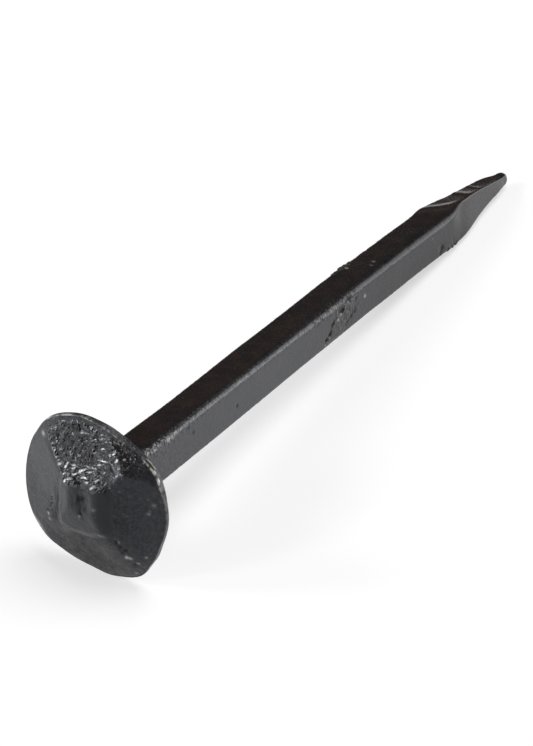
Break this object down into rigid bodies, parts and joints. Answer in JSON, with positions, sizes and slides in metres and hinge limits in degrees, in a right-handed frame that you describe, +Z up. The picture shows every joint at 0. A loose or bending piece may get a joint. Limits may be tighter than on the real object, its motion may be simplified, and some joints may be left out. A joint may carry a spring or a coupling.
{
  "type": "forged spike",
  "caption": "Hand-forged spike with a broad hammered head, a straight square shank and a blunt tapered point, driven into timber to hold a fitting down.",
  "frame": {"origin": "centre of the head's flat underside, on the axis of the shank", "axes": "+Z up with the spike lying on a bench, +Y along the spike from the head to the point, +X to the right seen from the head"},
  "size_m": [0.0331, 0.1748, 0.0331],
  "materials": {
    "black_bar": "black wax over forged steel, satin gloss, fine pits",
    "black_head": "black wax over hammered steel, satin gloss, brown hammer marks",
    "head_crust": "rough forge scale under black wax, glinting",
    "bar_scabs": "rough scabs of forge scale under black wax"
  },
  "bodies": {
    "root": {"shank": "black_bar", "head_plate": "black_head", "head_scale": "head_crust", "shank_scale": "bar_scabs"}
  },
  "joints": []
}
